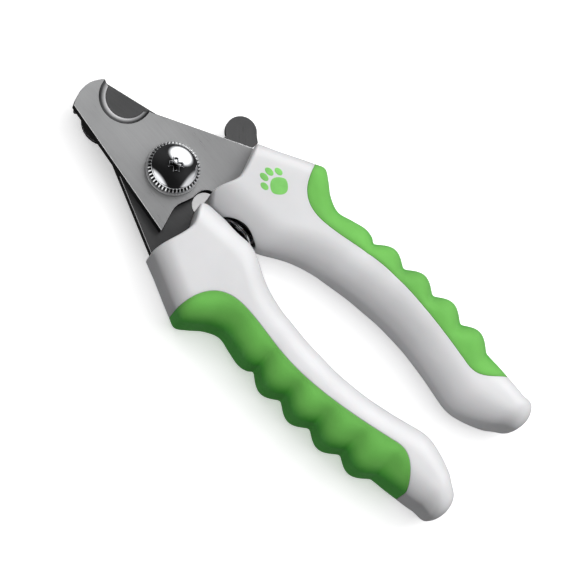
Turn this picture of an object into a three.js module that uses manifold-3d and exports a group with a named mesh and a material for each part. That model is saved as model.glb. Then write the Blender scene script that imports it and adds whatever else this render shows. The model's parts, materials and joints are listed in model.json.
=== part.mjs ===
// Scissor nail clipper for pets: two stamped blades on one screwed pivot, a swinging nail
// guard, a coil return spring and two overmoulded handles. Millimetres, +Z up.
// The tool lies on its flat handle backs, shut. +X runs from the jaws to the handle ends,
// +Y towards the upper handle. Inside the tool group the pivot axis is x = 0, y = 0 and
// z = 0 is the plane between the blades.
import * as THREE from 'three';
import { mergeVertices } from 'three/addons/utils/BufferGeometryUtils.js';
import { ParametricGeometry } from 'three/addons/geometries/ParametricGeometry.js';
import Module from 'manifold-3d';

const wasm = await Module();
wasm.setup();

// ---- driving dimensions -------------------------------------------------------------
const GAP = 0.3;                  // clearance between pieces that touch on the real tool
const JAW_TIP_X = -35.12;
const HANDLE_END_X = 125.3;
const HANDLE_HALF = 10.5;         // half thickness of a handle
const EDGE_INNER = 9.0;           // rounding of a handle's finger-gap edges
const EDGE_OUTER = 6.0;           // rounding of its outer edges

const BLADE_THICK = 3.2;
const PIVOT_HOLE_R = 4.0;
const SLEEVE_R = 3.8;
const BOLT_R = 2.9;

const NOTCH_X = -24.3;
const NOTCH_CUT_Y = 7.6;          // centre of the cutting circle, on the mating face
const NOTCH_CUT_R = 6.3;
const NOTCH_RIM_Y = 6.3;          // centre of the ground rim, on the outer face
const NOTCH_RIM_R = 7.9;

const SCALLOP_START_X = 57.1;
const SCALLOP_PITCH = 11.6;
const SCALLOP_COUNT = 4;
const SCALLOP_DEPTH = 2.6;

const SPRING_X = 26.3;
const POCKET_R = 6.5;
const POCKET_DEPTH = 8.6;
const CUP_WALL = 0.6;
const SPRING_R = 4.9;             // mean radius of the coil
const WIRE_R = 0.65;
const SPRING_TURNS = 6;

const GUARD_THICK = 1.5;
const PADDLE_X = -24.2;
const PADDLE_Y = -0.6;
const PADDLE_R = 7.1;
const TAB_X = 6.2;
const TAB_Y = 26.2;
const TAB_R = 4.8;

const KNURL_TEETH = 44;
const KNURL_R = 7.7;
const KNURL_DEPTH = 0.7;
const NUT_HEIGHT = 2.2;
const DOME_R = 6.2;
const LOCK_RING_R = 4.3;

// ---- solids and meshes --------------------------------------------------------------
function solid(geometry) {
  const bare = geometry.clone();
  bare.deleteAttribute('normal');
  bare.deleteAttribute('uv');
  const merged = mergeVertices(bare, 1e-4);
  const index = merged.index.array;
  const triangles = [];
  for (let i = 0; i < index.length; i += 3) {
    const [a, b, c] = index.slice(i, i + 3);
    if (a !== b && b !== c && c !== a) triangles.push(a, b, c);
  }
  return new wasm.Manifold(new wasm.Mesh({
    numProp: 3,
    vertProperties: new Float32Array(merged.attributes.position.array),
    triVerts: new Uint32Array(triangles),
  }));
}

function geometryOf(manifold) {
  const mesh = manifold.getMesh();
  const geometry = new THREE.BufferGeometry();
  geometry.setAttribute('position', new THREE.BufferAttribute(mesh.vertProperties, 3));
  geometry.setIndex(new THREE.BufferAttribute(mesh.triVerts, 1));
  return geometry;
}

function part(name, manifold, finish) {
  const geometry = geometryOf(manifold).toNonIndexed();
  geometry.computeVertexNormals();
  const mesh = new THREE.Mesh(geometry, new THREE.MeshStandardMaterial(finish));
  mesh.name = name;
  return mesh;
}

function plate(shape, bottom, thickness, curveSegments = 8) {
  const settings = { depth: thickness, bevelEnabled: false, curveSegments };
  return solid(new THREE.ExtrudeGeometry(shape, settings).translate(0, 0, bottom));
}

// A ring or disc turned about Z from [radius, z] corners that close on themselves.
function turned(corners, segments = 36) {
  const points = [...corners, corners[0]].map(([radius, z]) => new THREE.Vector2(radius, z));
  return solid(new THREE.LatheGeometry(points, segments).rotateX(Math.PI / 2));
}

function ring(inner, outer, bottom, top, segments = 36) {
  const corners = [[inner, bottom], [outer, bottom], [outer, top], [inner, top]];
  return turned(corners, segments);
}

function cylinder(radius, bottom, top, segments = 28) {
  const bar = new THREE.CylinderGeometry(radius, radius, top - bottom, segments);
  return solid(bar.rotateX(Math.PI / 2).translate(0, 0, (top + bottom) / 2));
}

// The union of four copies moved to the corners of a small square: a shape grown by step.
function grown(body, step) {
  const moves = [[-1, -1], [-1, 1], [1, 1], [1, -1]];
  const copies = moves.map(([x, y]) => body.translate([x * step, y * step, 0]));
  return copies.reduce((sum, copy) => sum.add(copy));
}

// A smooth curve y(x) through a few knots, with the slope at each knot taken from its neighbours.
function through(knots) {
  const slopes = knots.map((knot, i) => {
    const before = knots[Math.max(i - 1, 0)];
    const after = knots[Math.min(i + 1, knots.length - 1)];
    return (after[1] - before[1]) / (after[0] - before[0]);
  });
  return (x) => {
    let i = 0;
    while (i < knots.length - 2 && x > knots[i + 1][0]) i += 1;
    const span = knots[i + 1][0] - knots[i][0];
    const t = THREE.MathUtils.clamp((x - knots[i][0]) / span, 0, 1);
    const rise = knots[i + 1][1] - knots[i][1];
    const ease = t * t * (3 - 2 * t);
    const bend = t * (1 - t) * ((1 - t) * slopes[i] - t * slopes[i + 1]) * span;
    return knots[i][1] + rise * ease + bend;
  };
}

// ---- blades -------------------------------------------------------------------------
// The front blade's outline: the lower jaw, the neck round the pivot and the tang that
// runs inside the upper handle. The rear blade is the same stamping turned over.
function bladeShape() {
  const shape = new THREE.Shape();
  shape.moveTo(-32.6, 5.9);
  shape.quadraticCurveTo(-37.2, 1.2, -33.5, -6.3);
  shape.lineTo(10.0, -15.9);
  shape.lineTo(8.3, -9.2);
  shape.quadraticCurveTo(7.8, -7.0, 9.0, -4.4);
  shape.lineTo(9.9, -1.8);
  shape.quadraticCurveTo(9.6, 3.3, 14.0, 3.8);
  shape.lineTo(17.0, 10.4);
  shape.lineTo(36.0, 11.6);
  shape.quadraticCurveTo(52.0, 16.2, 68.0, 15.8);
  shape.lineTo(94.0, 14.0);
  shape.lineTo(94.0, 19.6);
  shape.quadraticCurveTo(70.0, 22.4, 44.0, 19.6);
  shape.lineTo(30.0, 21.8);
  shape.lineTo(21.0, 22.4);
  shape.lineTo(13.5, 22.5);
  shape.lineTo(-16.0, 8.4);
  shape.closePath();
  return shape;
}

// The cutting notch is ground as a slanted cone, wide on the outer face.
function notchCutter() {
  const height = BLADE_THICK;
  const slope = (NOTCH_RIM_Y - NOTCH_CUT_Y) / height;
  const flare = (NOTCH_RIM_R - NOTCH_CUT_R) / height;
  const over = 0.4;
  const top = NOTCH_RIM_R + flare * over;
  const bottom = NOTCH_CUT_R - flare * over;
  const cone = new THREE.CylinderGeometry(top, bottom, height + 2 * over, 40);
  cone.rotateX(Math.PI / 2).translate(0, 0, height / 2 + GAP / 2);
  const slant = new THREE.Matrix4().makeShear(0, 0, 0, 0, 0, slope);
  cone.applyMatrix4(slant).translate(NOTCH_X, NOTCH_CUT_Y - slope * GAP / 2, 0);
  return solid(cone);
}

function bladeBlank(clearance = 0) {
  return plate(bladeShape(), GAP / 2 - clearance, BLADE_THICK + 2 * clearance);
}

function blade() {
  const hole = cylinder(PIVOT_HOLE_R, -1, BLADE_THICK + 1);
  return bladeBlank().subtract(notchCutter()).subtract(hole);
}

// ---- handles ------------------------------------------------------------------------
const innerEdge = through([
  [12.0, GAP / 2], [31.5, GAP / 2], [35.0, 1.3], [40.4, 4.7], [46, 7.1], [55, 9.2],
  [67, 10.6], [79, 10.8], [90, 9.4], [101, 6.9], [107, 5.7], [114, 7.9], [119.5, 11.0],
  [123.4, 14.2], [HANDLE_END_X, 17.2],
]);
const outerFront = through([
  [12.0, 22.6], [29.0, 31.0], [32.0, 32.1], [35.2, 30.0], [38.6, 27.2], [43.2, 25.3],
  [48.2, 26.3], [52.8, 27.3], [55.6, 26.9], [SCALLOP_START_X, 25.8],
]);
const outerEnd = through([
  [103.5, 25.0], [112.6, 23.8], [118.5, 22.9], [123.0, 21.4], [HANDLE_END_X, 18.8],
]);

// The outer edge: a swelling behind the head, a row of finger scallops, then the plain end.
function outerEdge(x) {
  const scallopEnd = SCALLOP_START_X + SCALLOP_COUNT * SCALLOP_PITCH;
  if (x <= SCALLOP_START_X) return outerFront(x);
  if (x >= scallopEnd) return outerEnd(x);
  const phase = Math.PI * (x - SCALLOP_START_X) / SCALLOP_PITCH;
  return 26.8 - 0.0026 * (x - 77) ** 2 + SCALLOP_DEPTH * Math.abs(Math.sin(phase));
}

// The head's front wall is a shallow V that takes the other blade's heel when open.
const headFront = through([
  [0, 15.6], [2.4, 13.0], [4.4, 13.3], [10.6, 15.6], [22.6, 12.4], [24, 12.2],
]);

function handleStations() {
  const stations = [16.5, 20, 25, 29, 31.5, 33, 35, 38, 41, 44, 48, 52, 55];
  const steps = SCALLOP_COUNT * 4;
  for (let i = 0; i <= steps; i += 1) stations.push(SCALLOP_START_X + i * SCALLOP_PITCH / 4);
  return [...stations, 107, 110, 113, 116, 119, 121.5, 123.3, 124.5, 125.0];
}

// A section of the handle at x: a rounded rectangle, point k of count, counted from the
// outer side over the top. The finger-gap corners are rounder than the outer ones.
function sectionPoint(x, k, count) {
  const roundEnd = 6;
  const past = Math.max(0, x - HANDLE_END_X + roundEnd) / roundEnd;
  const half = HANDLE_HALF - roundEnd * (1 - Math.sqrt(Math.max(0, 1 - past * past)));
  const low = innerEdge(x);
  const high = outerEdge(x);
  const room = (high - low) * 0.49;
  const perCorner = count / 4;
  const corner = Math.floor(k / perCorner) % 4;
  const angle = Math.PI / 2 * (corner + (k % perCorner) / (perCorner - 1));
  const isInner = corner === 1 || corner === 2;
  const radius = Math.min(isInner ? EDGE_INNER : EDGE_OUTER, room, half * 0.9);
  const centreY = isInner ? low + radius : high - radius;
  const centreZ = (corner < 2 ? 1 : -1) * (half - radius);
  return [centreY + radius * Math.cos(angle), centreZ + radius * Math.sin(angle)];
}

function handleBody() {
  const stations = handleStations();
  const around = 20;
  const rows = stations.length + 2;
  const place = (u, v, target) => {
    const row = Math.round(u * rows);
    const k = Math.round((1 - v) * around) % around;
    if (row === 0) return target.set(headFront(12), 12, 0);
    if (row === rows) return target.set(HANDLE_END_X, 18, 0);
    const x = row === 1 ? 14 : stations[row - 2];
    const [y, z] = sectionPoint(x, k, around);
    return target.set(row === 1 ? headFront(y) : x, y, z);
  };
  return solid(new ParametricGeometry(place, rows, around));
}

// Plan of the soft grip: its seam with the handle core, then well outside the handle.
function gripRegion() {
  const shape = new THREE.Shape();
  shape.moveTo(28.0, 36);
  shape.lineTo(28.8, 30.4);
  shape.bezierCurveTo(30.0, 23.5, 33.0, 17.4, 42.0, 17.7);
  shape.bezierCurveTo(51.0, 18.1, 57.0, 20.8, 68.0, 20.7);
  shape.bezierCurveTo(80.0, 20.6, 93.0, 17.8, 101.0, 16.1);
  shape.bezierCurveTo(106.0, 15.2, 108.5, 18.6, 113.2, 24.4);
  shape.lineTo(114.0, 36);
  shape.closePath();
  return plate(shape, -12, 24, 6);
}

// The bar of hard core that the grip is moulded round.
function gripCore(clearance = 0) {
  const shape = new THREE.Shape();
  shape.moveTo(30.0, 14);
  shape.lineTo(32.6, 26.0);
  shape.quadraticCurveTo(36.0, 22.6, 44.0, 22.0);
  shape.quadraticCurveTo(74.0, 25.2, 103.0, 21.4);
  shape.lineTo(108.4, 20.6);
  shape.lineTo(104.0, 12);
  shape.quadraticCurveTo(74.0, 15.5, 44.0, 12.5);
  shape.closePath();
  const half = 7 + clearance;
  return plate(shape, -half, 2 * half, 5);
}

function springPocket(radius, depth) {
  return cylinder(radius, -1, depth).rotate([-90, 0, 0]).translate([SPRING_X, 0, 0]);
}

function handleCore() {
  return handleBody()
    .subtract(grown(gripRegion(), GAP / 2))
    .add(gripCore())
    .subtract(grown(bladeBlank(GAP), GAP))
    .subtract(springPocket(POCKET_R, POCKET_DEPTH));
}

function grip() {
  return handleBody()
    .intersect(gripRegion())
    .subtract(grown(gripCore(GAP), GAP));
}

function springCup() {
  const outer = POCKET_R - GAP / 2;
  const floor = POCKET_DEPTH - GAP / 2;
  const mouth = 1.6;
  const inner = outer - CUP_WALL;
  const profile = [[0, floor], [outer, floor], [outer, mouth], [inner, mouth],
    [inner, floor - CUP_WALL], [0, floor - CUP_WALL]];
  const points = profile.map(([radius, depth]) => new THREE.Vector2(radius, depth));
  const cup = new THREE.LatheGeometry(points.reverse(), 28);
  return solid(cup.translate(SPRING_X, 0, 0));
}

// ---- return spring ------------------------------------------------------------------
class Helix extends THREE.Curve {
  getPoint(t, target = new THREE.Vector3()) {
    const reach = POCKET_DEPTH - CUP_WALL - GAP - WIRE_R - 0.25;
    const turn = 2 * Math.PI * SPRING_TURNS * t;
    const x = SPRING_X + SPRING_R * Math.cos(turn);
    return target.set(x, reach * (2 * t - 1), SPRING_R * Math.sin(turn));
  }
}

function returnSpring() {
  const wire = new THREE.Shape();
  wire.absarc(0, 0, WIRE_R, 0, 2 * Math.PI);
  return solid(new THREE.ExtrudeGeometry(wire, {
    steps: SPRING_TURNS * 14,
    curveSegments: 4,
    extrudePath: new Helix(),
    bevelEnabled: false,
  }));
}

// ---- nail guard ---------------------------------------------------------------------
const GUARD_TOP = -GAP / 2 - BLADE_THICK - 0.8;

// One plate: a round stop paddle behind the notch, an eye on the pivot, a thumb tab.
function nailGuard() {
  const bottom = GUARD_TOP - GUARD_THICK;
  const disc = (x, y, radius, segments) => (
    cylinder(radius, bottom, GUARD_TOP, segments).translate([x, y, 0])
  );
  const arm = (points) => {
    const corners = points.map(([x, y]) => new THREE.Vector2(x, y));
    return plate(new THREE.Shape(corners), bottom, GUARD_THICK);
  };
  const paddleArm = arm([[PADDLE_X, PADDLE_Y - 5.2], [0, -6.2], [0, 6.2], [PADDLE_X, PADDLE_Y + 5.2]]);
  const tabArm = arm([[-3.4, 5.2], [6.2, -1.0], [11.5, 21.4], [12.1, 27.2], [9.8, 29.2],
    [TAB_X, TAB_Y], [4.0, 21.6]]);
  return disc(PADDLE_X, PADDLE_Y, PADDLE_R, 36)
    .add(disc(TAB_X, TAB_Y, TAB_R, 28))
    .add(disc(0, 0, 7.2, 32))
    .add(paddleArm)
    .add(tabArm)
    .subtract(cylinder(PIVOT_HOLE_R, bottom - 1, GUARD_TOP + 1));
}

// ---- pivot stack --------------------------------------------------------------------
const FRONT_FACE = GAP / 2 + BLADE_THICK;
const NUT_SEAT = FRONT_FACE + 1.0;
const NUT_FLOOR = 0.8;            // thickness of the nut under its dome

function pivotBolt() {
  const seat = GUARD_TOP - GUARD_THICK - 1.2;
  const head = 2.0;
  const corners = [[0, seat - head], [5.6, seat - head], [6.6, seat - head + 0.8], [6.6, seat],
    [BOLT_R, seat], [BOLT_R, FRONT_FACE + 3.2], [0, FRONT_FACE + 3.2]];
  const points = corners.map(([radius, z]) => new THREE.Vector2(radius, z));
  const slot = solid(new THREE.BoxGeometry(9, 1.4, 1.6).translate(0, 0, seat - head));
  return solid(new THREE.LatheGeometry(points, 28).rotateX(Math.PI / 2)).subtract(slot);
}

function tensionNut() {
  const shape = new THREE.Shape();
  const half = Math.PI / KNURL_TEETH;
  for (let i = 0; i < KNURL_TEETH; i += 1) {
    const angle = 2 * half * i;
    const draw = i === 0 ? 'moveTo' : 'lineTo';
    shape[draw](KNURL_R * Math.cos(angle), KNURL_R * Math.sin(angle));
    const root = KNURL_R - KNURL_DEPTH;
    shape.lineTo(root * Math.cos(angle + half), root * Math.sin(angle + half));
  }
  const bore = cylinder(DOME_R + GAP, NUT_SEAT + NUT_FLOOR, NUT_SEAT + NUT_HEIGHT + 1, 32);
  const hole = cylinder(BOLT_R + GAP / 2, NUT_SEAT - 1, NUT_SEAT + NUT_HEIGHT);
  return plate(shape, NUT_SEAT, NUT_HEIGHT).subtract(bore).subtract(hole);
}

// The polished dome that closes the nut, with a cross recess for a screwdriver.
function nutDome() {
  const bottom = NUT_SEAT + NUT_FLOOR + 0.15;
  const rim = bottom + 1.2;
  const height = 2.5;
  const radius = (DOME_R ** 2 + height ** 2) / (2 * height);
  const hollow = LOCK_RING_R + 0.15;
  const points = [new THREE.Vector2(0, bottom + 1.7), new THREE.Vector2(hollow, bottom + 1.7),
    new THREE.Vector2(hollow, bottom), new THREE.Vector2(DOME_R, bottom)];
  const steps = 7;
  const reach = Math.asin(DOME_R / radius);
  for (let i = 0; i <= steps; i += 1) {
    const angle = reach * (1 - i / steps);
    const z = rim + height - radius + radius * Math.cos(angle);
    points.push(new THREE.Vector2(i === steps ? 0 : radius * Math.sin(angle), z));
  }
  const top = rim + height;
  const bar = solid(new THREE.BoxGeometry(4.0, 1.1, 1.8).translate(0, 0, top));
  return solid(new THREE.LatheGeometry(points, 36).rotateX(Math.PI / 2))
    .subtract(bar)
    .subtract(bar.rotate([0, 0, 90]));
}

// A nylon ring pressed into the nut, which grips the thread so the setting holds.
function nutLockRing() {
  const bottom = NUT_SEAT + NUT_FLOOR + 0.15;
  return ring(BOLT_R + 0.15, LOCK_RING_R, bottom, bottom + 1.3);
}

// A thin disc spring: a shallow cone with its rim down, so it bears on two edges.
function springWasher(bottom, top) {
  const lift = 0.35;
  return turned([[4.3, bottom + lift], [6.2, bottom], [6.2, top - lift], [4.3, top]]);
}

// ---- finishes -----------------------------------------------------------------------
const STEEL = { color: 0x9a9b9e, roughness: 0.38, metalness: 1 };
const DARK_STEEL = { color: 0x505154, roughness: 0.34, metalness: 1 };
const CHROME = { color: 0xd8d9dc, roughness: 0.08, metalness: 1 };
const WHITE = { color: 0xe8e8ea, roughness: 0.45, metalness: 0 };
const GREEN = { color: 0x5fb544, roughness: 0.62, metalness: 0 };
const BLACK = { color: 0x161617, roughness: 0.5, metalness: 0 };
const NYLON = { color: 0xd9d6c8, roughness: 0.6, metalness: 0 };

// ---- assembly -----------------------------------------------------------------------
const tool = new THREE.Group();
tool.position.set(-(JAW_TIP_X + HANDLE_END_X) / 2, 0, HANDLE_HALF);

const frontHalf = new THREE.Group();
frontHalf.add(
  part('front_blade', blade(), STEEL),
  part('upper_handle', handleCore(), WHITE),
  part('upper_grip', grip(), GREEN),
  part('upper_spring_cup', springCup(), BLACK),
);

const rearHalf = new THREE.Group();
rearHalf.rotation.x = Math.PI;
rearHalf.add(
  part('rear_blade', blade(), DARK_STEEL),
  part('lower_handle', handleCore(), WHITE),
  part('lower_grip', grip(), GREEN),
  part('lower_spring_cup', springCup(), BLACK),
);

const washerTop = -FRONT_FACE - 0.15;
const guardBottom = GUARD_TOP - GUARD_THICK;
const pivot = new THREE.Group();
pivot.add(
  part('pivot_bolt', pivotBolt(), STEEL),
  part('pivot_sleeve', ring(BOLT_R + 0.15, SLEEVE_R, guardBottom, FRONT_FACE), STEEL),
  part('front_washer', ring(4.2, 8.1, FRONT_FACE + 0.15, FRONT_FACE + 0.85), STEEL),
  part('tension_nut', tensionNut(), CHROME),
  part('nut_dome', nutDome(), CHROME),
  part('nut_lock_ring', nutLockRing(), NYLON),
  part('guard_washer', ring(4.2, 6.8, washerTop - 0.5, washerTop), NYLON),
  part('disc_spring', springWasher(guardBottom - 1.05, guardBottom - 0.15), STEEL),
);

tool.add(
  frontHalf,
  rearHalf,
  pivot,
  part('nail_guard', nailGuard(), DARK_STEEL),
  part('return_spring', returnSpring(), STEEL),
);

const clipper = new THREE.Group();
clipper.add(tool);

export default clipper;
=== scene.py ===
"""Scissor nail clipper for pets: detailed surfaces, finishes, studio light and camera."""

import json

import bmesh
import bpy
import numpy as np
from bpy.props import FloatProperty, FloatVectorProperty, PointerProperty
from mathutils import Matrix, Vector


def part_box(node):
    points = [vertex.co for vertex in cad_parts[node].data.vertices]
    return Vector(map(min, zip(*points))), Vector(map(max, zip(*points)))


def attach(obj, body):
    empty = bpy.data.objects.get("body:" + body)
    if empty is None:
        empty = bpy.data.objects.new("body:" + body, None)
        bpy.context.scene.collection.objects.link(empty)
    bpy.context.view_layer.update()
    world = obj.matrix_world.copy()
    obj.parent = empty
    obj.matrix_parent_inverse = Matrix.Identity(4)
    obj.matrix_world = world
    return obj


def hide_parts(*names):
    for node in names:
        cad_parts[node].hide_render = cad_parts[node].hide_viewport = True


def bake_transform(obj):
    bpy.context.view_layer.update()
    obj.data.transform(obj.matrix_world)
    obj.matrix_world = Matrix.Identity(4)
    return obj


bl_info = {
    "name": "Scissor nail clipper",
    "version": (1, 0, 0),
    "blender": (4, 5, 0),
    "location": "3D View > Sidebar > Clipper",
    "description": "Builds a plier-type pet nail clipper around its CAD frame",
    "category": "Add Mesh",
}

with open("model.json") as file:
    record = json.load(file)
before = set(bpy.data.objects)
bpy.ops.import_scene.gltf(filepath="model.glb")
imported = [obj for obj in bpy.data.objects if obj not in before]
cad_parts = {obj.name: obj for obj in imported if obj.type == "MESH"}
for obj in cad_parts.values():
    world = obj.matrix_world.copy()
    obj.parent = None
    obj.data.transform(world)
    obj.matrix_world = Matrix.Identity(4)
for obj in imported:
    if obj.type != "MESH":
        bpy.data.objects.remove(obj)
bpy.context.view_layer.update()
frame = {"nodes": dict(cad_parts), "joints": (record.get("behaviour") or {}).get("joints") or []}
HINGE = next(joint for joint in frame["joints"] if joint["name"] == "blade_pivot")
PIVOT = 1000.0 * np.array(HINGE["pos_m"])
SPRING_X = 500.0 * sum(corner.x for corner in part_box("upper_spring_cup")) - PIVOT[0]
NOSE_X = 1000.0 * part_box("upper_handle")[1].x - PIVOT[0]
HALF = 500.0 * (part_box("upper_handle")[1].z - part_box("upper_handle")[0].z)


# ---- sizes and colours that a user may change ---------------------------------------


class ClipperSizes(bpy.types.PropertyGroup):
    """Fine sizes of the moulded and stamped pieces."""

    seam_round: FloatProperty(
        name="Seam rounding", description="Rounding on both sides of the grip's seam",
        default=0.00024, min=0.00005, max=0.001, subtype="DISTANCE", unit="LENGTH")
    grip_depth: FloatProperty(
        name="Grip depth", description="Thickness of the soft grip over its core",
        default=0.0012, min=0.0005, max=0.003, subtype="DISTANCE", unit="LENGTH")
    scoop: FloatProperty(
        name="Scoop", description="How far the finger scallops run up as scoops on the faces",
        default=0.55, min=0.0, max=1.0, subtype="FACTOR")
    crown: FloatProperty(
        name="Crown", description="Rise in the middle of a handle's wide faces",
        default=0.0004, min=0.0, max=0.001, subtype="DISTANCE", unit="LENGTH")
    steel_edge: FloatProperty(
        name="Steel edge", description="Width of the broken edge of a steel plate",
        default=0.00012, min=0.00005, max=0.0006, subtype="DISTANCE", unit="LENGTH")
    paw_size: FloatProperty(
        name="Paw size", description="Width of the printed paw mark",
        default=0.0088, min=0.004, max=0.011, subtype="DISTANCE", unit="LENGTH")


class ClipperColours(bpy.types.PropertyGroup):
    """Base colours of the finishes, as linear light."""

    white: FloatVectorProperty(
        name="Handle white", description="Hard plastic of the handles",
        default=(0.70, 0.70, 0.71), size=3, min=0.0, max=1.0, subtype="COLOR")
    green: FloatVectorProperty(
        name="Grip green", description="Soft rubber of the grips",
        default=(0.145, 0.455, 0.082), size=3, min=0.0, max=1.0, subtype="COLOR")
    print_green: FloatVectorProperty(
        name="Print green", description="Ink of the paw mark",
        default=(0.19, 0.55, 0.12), size=3, min=0.0, max=1.0, subtype="COLOR")
    blade: FloatVectorProperty(
        name="Blade steel", description="Brushed stainless steel of the front blade",
        default=(0.36, 0.362, 0.366), size=3, min=0.0, max=1.0, subtype="COLOR")
    # Darker than the front blade: partly a darker steel, partly painted shade where these plates
    # lie under the front blade.
    rear: FloatVectorProperty(
        name="Rear steel", description="Darker steel of the rear blade and the guard",
        default=(0.122, 0.122, 0.124), size=3, min=0.0, max=1.0, subtype="COLOR")


# ---- meshes -------------------------------------------------------------------------


def row_metres(points, turned_over=False):
    """Tool millimetres to row metres. The lower half is the upper half turned over about X."""
    points = np.asarray(points, float)
    if turned_over:
        points = points * (1.0, -1.0, -1.0)
    return (points + PIVOT) / 1000.0


def triangles_of(faces):
    """Quads as pairs of triangles; triangles as they are."""
    if faces.shape[1] == 3:
        return faces
    return np.concatenate([faces[:, [0, 1, 2]], faces[:, [0, 2, 3]]])


def facing_out(points, faces):
    """Turns all the faces round if the volume that they enclose comes out negative."""
    a, b, c = (points[triangles_of(faces)[:, k]] for k in range(3))
    volume = np.einsum("ij,ij->i", a, np.cross(b, c)).sum()
    return faces if volume > 0 else faces[:, ::-1]


def corner_normals(points, triangles):
    """Normals at the points, each the sum of its triangles' area vectors, made unit length."""
    a, b, c = (points[triangles[:, k]] for k in range(3))
    area = np.cross(b - a, c - a)
    total = np.zeros_like(points)
    for k in range(3):
        np.add.at(total, triangles[:, k], area)
    return total / np.maximum(np.linalg.norm(total, axis=1, keepdims=True), 1e-12)


def wrapped_grid(rows, columns):
    """Quads of a grid whose last column joins its first."""
    i, j = np.meshgrid(np.arange(rows - 1), np.arange(columns), indexing="ij")
    k = (j + 1) % columns
    quad = [i * columns + j, i * columns + k, (i + 1) * columns + k, (i + 1) * columns + j]
    return np.stack(quad, axis=-1).reshape(-1, 4)


def open_edges(triangles):
    """The directed edges that only one triangle has."""
    edges = np.concatenate([triangles[:, [0, 1]], triangles[:, [1, 2]], triangles[:, [2, 0]]])
    size = triangles.max() + 1
    key = edges[:, 0] * size + edges[:, 1]
    back = edges[:, 1] * size + edges[:, 0]
    return edges[~np.isin(key, back)]


def cut_along(values, triangles, field, level):
    """Splits the triangles that the line field = level crosses, so that it runs along edges.
    Each crossed edge gets one new point, placed by the share of the field's change along it."""
    gap = values[:, field] - level
    side = gap[triangles] >= 0
    count = side.sum(axis=1)
    crossed = (count == 1) | (count == 2)
    cut, signs = triangles[crossed], side[crossed]
    alone = np.where(signs.sum(axis=1) == 1, signs.argmax(axis=1), (~signs).argmax(axis=1))
    turn = (alone[:, None] + np.arange(3)) % 3
    a, b, c = np.take_along_axis(cut, turn, axis=1).T
    size = len(values)
    key = np.concatenate([np.minimum(a, b) * size + np.maximum(a, b),
                          np.minimum(a, c) * size + np.maximum(a, c)])
    unique, place = np.unique(key, return_inverse=True)
    first, second = unique // size, unique % size
    share = (gap[first] / (gap[first] - gap[second]))[:, None]
    fresh = values[first] * (1 - share) + values[second] * share
    fresh[:, field] = level
    ab, ac = size + place[: len(a)], size + place[len(a):]
    parts = [triangles[~crossed], np.stack([a, ab, ac], 1), np.stack([ab, b, c], 1),
             np.stack([ab, c, ac], 1)]
    return np.concatenate([values, fresh]), np.concatenate(parts)


def without_spares(values, triangles):
    """Only the points that some triangle uses."""
    used, place = np.unique(triangles, return_inverse=True)
    return values[used], place.reshape(triangles.shape)


def make_piece(name, points, faces, body, finishes, nodes=(), turned_over=False,
               attributes=(), sharp=0.6):
    """A mesh object in the row frame, riding on its body, in place of its CAD nodes."""
    mesh = bpy.data.meshes.new(name)
    placed = row_metres(points, turned_over)
    mesh.from_pydata(placed.tolist(), [], facing_out(placed, np.asarray(faces)).tolist())
    for label, values in dict(attributes).items():
        layer = mesh.attributes.new(label, "FLOAT", "POINT")
        layer.data.foreach_set("value", np.asarray(values, np.float32))
    for finish in finishes:
        mesh.materials.append(finish)
    welded = bmesh.new()
    welded.from_mesh(mesh)
    bmesh.ops.remove_doubles(welded, verts=welded.verts, dist=1.5e-6)
    bmesh.ops.dissolve_degenerate(welded, edges=welded.edges, dist=1e-7)
    welded.to_mesh(mesh)
    welded.free()
    mesh.polygons.foreach_set("use_smooth", np.ones(len(mesh.polygons), bool))
    mesh.set_sharp_from_angle(angle=sharp)
    piece = bpy.data.objects.new(name, mesh)
    bpy.context.scene.collection.objects.link(piece)
    if body:
        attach(piece, body)
    if nodes:
        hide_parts(*nodes)
    return piece


# ---- curves and profiles ------------------------------------------------------------


def through(knots):
    """A cubic curve y(x) through the knots, with each slope taken from the knots beside it."""
    x, y = np.array(knots, float).T
    slope = np.r_[(y[1] - y[0]) / (x[1] - x[0]), (y[2:] - y[:-2]) / (x[2:] - x[:-2]),
                  (y[-1] - y[-2]) / (x[-1] - x[-2])]

    def curve(at):
        """y at x: a cubic between the two knots beside it that has their slopes."""
        at = np.asarray(at, float)
        i = np.clip(np.searchsorted(x, at, side="right") - 1, 0, len(x) - 2)
        span = x[i + 1] - x[i]
        t = np.clip((at - x[i]) / span, 0, 1)
        bend = t * (1 - t) * ((1 - t) * slope[i] - t * slope[i + 1]) * span
        return y[i] + (y[i + 1] - y[i]) * t * t * (3 - 2 * t) + bend

    return curve


def smooth(value, low, high):
    """0 below low, 1 above high, and a smooth cubic step between."""
    t = np.clip((np.asarray(value, float) - low) / (high - low), 0, 1)
    return t * t * (3 - 2 * t)


def bezier(start, first, second, end):
    """Sixty points of a cubic Bezier curve, without its start."""
    t = np.linspace(0, 1, 61)[1:, None]
    return ((1 - t) ** 3 * np.array(start) + 3 * t * (1 - t) ** 2 * np.array(first)
            + 3 * t * t * (1 - t) * np.array(second) + t ** 3 * np.array(end))


def eased(corners, radius, steps=5):
    """A closed profile with each corner swapped for a short quadratic curve, which starts and
    ends at radius from the corner, or at 45% of a side where the side is short."""
    corners = np.array(corners, float)
    before, after = np.roll(corners, 1, 0) - corners, np.roll(corners, -1, 0) - corners
    to_before, to_after = (np.linalg.norm(v, axis=1, keepdims=True) for v in (before, after))
    start = corners + before / to_before * np.minimum(radius, 0.45 * to_before)
    end = corners + after / to_after * np.minimum(radius, 0.45 * to_after)
    t = np.linspace(0, 1, steps)[None, :, None]
    arc = (1 - t) ** 2 * start[:, None] + 2 * t * (1 - t) * corners[:, None] + t * t * end[:, None]
    return arc.reshape(-1, 2)


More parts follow.
